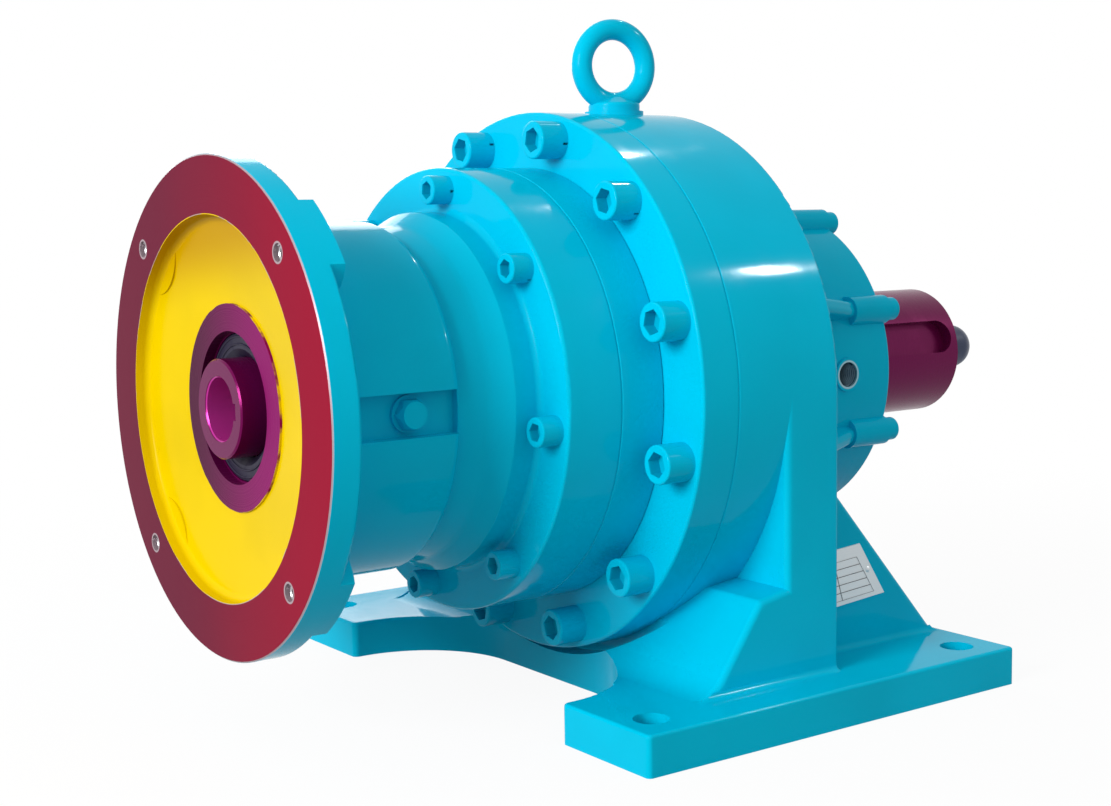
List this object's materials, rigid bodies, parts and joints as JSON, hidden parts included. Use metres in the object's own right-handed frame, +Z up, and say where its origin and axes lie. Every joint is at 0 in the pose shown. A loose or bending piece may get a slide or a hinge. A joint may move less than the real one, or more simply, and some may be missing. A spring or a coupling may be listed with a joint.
{
  "type": "planetary gear unit",
  "caption": "Foot-mounted planetary gear reducer with a motor flange and hollow keyed input at one end, a solid keyed output shaft at the other and a lifting eye on top.",
  "frame": {"origin": "centre of the four foot holes on the foot's underside", "axes": "+X along the shafts from the motor flange to the output end, +Z up"},
  "size_m": [0.657, 0.42, 0.445],
  "materials": {
    "motor_adapter": "gloss",
    "neck_plugs": "gloss",
    "ring_gear_1": "gloss",
    "middle_flange": "gloss",
    "output_housing": "gloss",
    "output_cover": "gloss",
    "eye_bolt": "gloss",
    "screws": "gloss",
    "seal": "satin",
    "input_shaft": "satin",
    "output_shaft": "satin",
    "shaft_end_plug": "satin",
    "name_plate": "satin",
    "gear_steel": "satin",
    "bearing": "polished",
    "bush": "satin"
  },
  "bodies": {
    "housing": {"motor_adapter": "motor_adapter", "neck_plugs": "neck_plugs", "ring_gear_1": "ring_gear_1", "middle_flange": "middle_flange", "ring_gear_2": "gear_steel", "ring_2_pins": "gear_steel", "output_housing": "output_housing", "output_cover": "output_cover", "output_seal": "seal", "input_seal": "seal", "bearing_circlip": "gear_steel", "adapter_screws": "screws", "adapter_washers": "screws", "flange_screws": "screws", "flange_washers": "screws", "cover_screws": "screws", "eye_bolt": "eye_bolt", "name_plate": "name_plate", "name_plate_rivets": "name_plate", "input_bearing_front_outer": "bearing", "input_bearing_rear_outer": "bearing", "carrier_bearing_outer": "bearing", "output_bearing_front_outer": "bearing", "output_bearing_rear_outer": "bearing"},
    "output": {"carrier_2": "gear_steel", "carrier_2_pins": "gear_steel", "carrier_key": "gear_steel", "output_shaft": "output_shaft", "bearing_spacer": "gear_steel", "shaft_lock_ring": "gear_steel", "shaft_end_plug": "shaft_end_plug", "output_bearing_front_inner": "bearing", "output_bearing_rear_inner": "bearing"},
    "carrier_1": {"carrier_1": "gear_steel", "carrier_1_pins": "gear_steel", "sun_gear_2": "gear_steel", "carrier_bearing_inner": "bearing"},
    "input": {"input_shaft": "input_shaft", "input_spacer": "gear_steel", "shaft_circlip": "gear_steel", "sun_gear_1": "gear_steel", "input_bearing_front_inner": "bearing", "input_bearing_rear_inner": "bearing"},
    "input_rollers": {"input_bearing_front_rollers": "bearing", "input_bearing_rear_rollers": "bearing"},
    "carrier_rollers": {"carrier_bearing_rollers": "bearing"},
    "output_rollers": {"output_bearing_front_rollers": "bearing", "output_bearing_rear_rollers": "bearing"},
    "planet_1a": {"planet_1a": "gear_steel", "planet_1a_bush": "bush"},
    "planet_1b": {"planet_1b": "gear_steel", "planet_1b_bush": "bush"},
    "planet_1c": {"planet_1c": "gear_steel", "planet_1c_bush": "bush"},
    "planet_2a": {"planet_2a": "gear_steel", "planet_2a_bush": "bush"},
    "planet_2b": {"planet_2b": "gear_steel", "planet_2b_bush": "bush"},
    "planet_2c": {"planet_2c": "gear_steel", "planet_2c_bush": "bush"}
  },
  "joints": [
    {"name": "output_spin", "type": "hinge", "parent": "housing", "child": "output", "pos_m": [0, 0, 0.203], "axis": [1, 0, 0], "continuous": true},
    {"name": "carrier_1_spin", "type": "hinge", "parent": "housing", "child": "carrier_1", "pos_m": [0, 0, 0.203], "axis": [1, 0, 0], "continuous": true},
    {"name": "input_spin", "type": "hinge", "parent": "housing", "child": "input", "pos_m": [0, 0, 0.203], "axis": [1, 0, 0], "continuous": true},
    {"name": "planet_2a_spin", "type": "hinge", "parent": "output", "child": "planet_2a", "pos_m": [0, 0, 0.284], "axis": [1, 0, 0], "continuous": true},
    {"name": "planet_2b_spin", "type": "hinge", "parent": "output", "child": "planet_2b", "pos_m": [0, -0.07015, 0.1625], "axis": [1, 0, 0], "continuous": true},
    {"name": "planet_2c_spin", "type": "hinge", "parent": "output", "child": "planet_2c", "pos_m": [0, 0.07015, 0.1625], "axis": [1, 0, 0], "continuous": true},
    {"name": "planet_1a_spin", "type": "hinge", "parent": "carrier_1", "child": "planet_1a", "pos_m": [0, 0, 0.269], "axis": [1, 0, 0], "continuous": true},
    {"name": "planet_1b_spin", "type": "hinge", "parent": "carrier_1", "child": "planet_1b", "pos_m": [0, -0.05716, 0.17], "axis": [1, 0, 0], "continuous": true},
    {"name": "planet_1c_spin", "type": "hinge", "parent": "carrier_1", "child": "planet_1c", "pos_m": [0, 0.05716, 0.17], "axis": [1, 0, 0], "continuous": true},
    {"name": "input_rollers_spin", "type": "hinge", "parent": "housing", "child": "input_rollers", "pos_m": [0, 0, 0.203], "axis": [1, 0, 0], "continuous": true},
    {"name": "carrier_rollers_spin", "type": "hinge", "parent": "housing", "child": "carrier_rollers", "pos_m": [0, 0, 0.203], "axis": [1, 0, 0], "continuous": true},
    {"name": "output_rollers_spin", "type": "hinge", "parent": "housing", "child": "output_rollers", "pos_m": [0, 0, 0.203], "axis": [1, 0, 0], "continuous": true}
  ],
  "couplings": [
    {"joint": "carrier_1_spin", "follows": "output_spin", "ratio": 4.5},
    {"joint": "input_spin", "follows": "output_spin", "ratio": 19.8},
    {"joint": "planet_2a_spin", "follows": "output_spin", "ratio": -2.8},
    {"joint": "planet_2b_spin", "follows": "output_spin", "ratio": -2.8},
    {"joint": "planet_2c_spin", "follows": "output_spin", "ratio": -2.8},
    {"joint": "planet_1a_spin", "follows": "output_spin", "ratio": -12.75},
    {"joint": "planet_1b_spin", "follows": "output_spin", "ratio": -12.75},
    {"joint": "planet_1c_spin", "follows": "output_spin", "ratio": -12.75},
    {"joint": "input_rollers_spin", "follows": "output_spin", "ratio": 8.7823},
    {"joint": "carrier_rollers_spin", "follows": "output_spin", "ratio": 2.0669},
    {"joint": "output_rollers_spin", "follows": "output_spin", "ratio": 0.44643}
  ]
}
